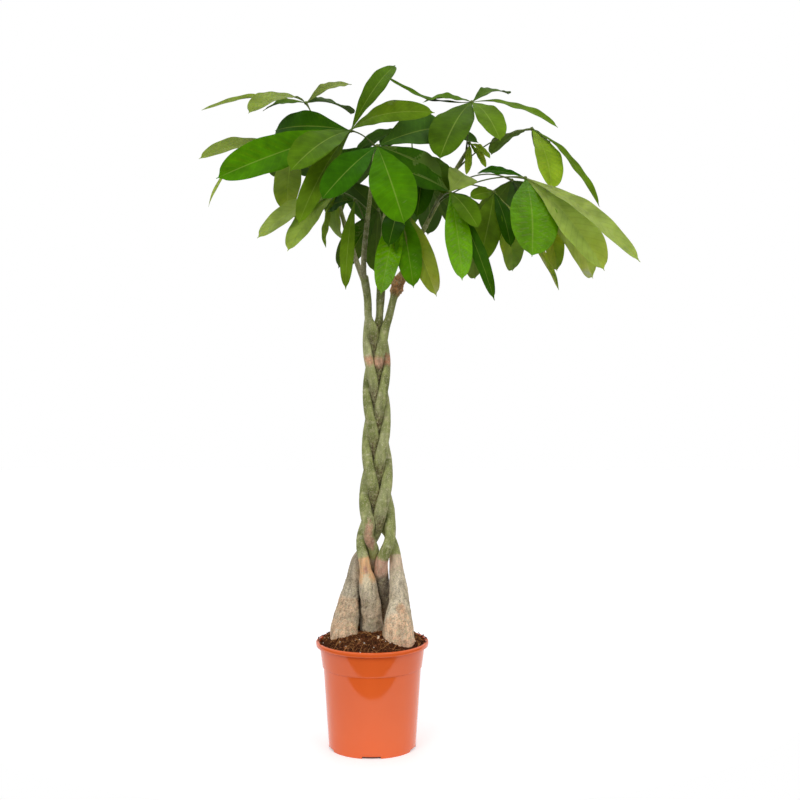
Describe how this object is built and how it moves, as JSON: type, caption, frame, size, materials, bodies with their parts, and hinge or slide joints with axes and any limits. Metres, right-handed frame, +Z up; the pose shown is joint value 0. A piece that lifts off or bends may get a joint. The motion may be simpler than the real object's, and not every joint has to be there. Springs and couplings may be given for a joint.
{
  "type": "potted money tree",
  "caption": "Money tree with a braided trunk and a crown of palmate leaves, standing in a round plastic nursery pot.",
  "frame": {"origin": "on the pot's axis, in the plane that its foot stands on", "axes": "+Z up along the trunk, -Y towards the side that the plant is looked at from, +X to its right"},
  "size_m": [0.7706, 0.5663, 1.2674],
  "materials": {
    "pot_plastic": "smooth injection-moulded orange-brown plastic with a soft shine",
    "potting_soil": "loose coir and peat crumbs, matt",
    "bark": "living bark, grey-beige and cracked at the swollen foot, olive green and smooth above",
    "foliage": "fresh green leaves, satin above and paler and duller below"
  },
  "bodies": {
    "root": {"pot": "pot_plastic", "soil": "potting_soil", "stem_left": "bark", "stem_middle": "bark", "stem_right": "bark", "stem_centre": "bark", "stem_back": "bark", "leafy_shoot_left": "foliage", "leafy_shoot_front": "foliage", "leafy_shoot_middle": "foliage", "leafy_shoot_right": "foliage", "leafy_shoot_back": "foliage"}
  },
  "joints": []
}
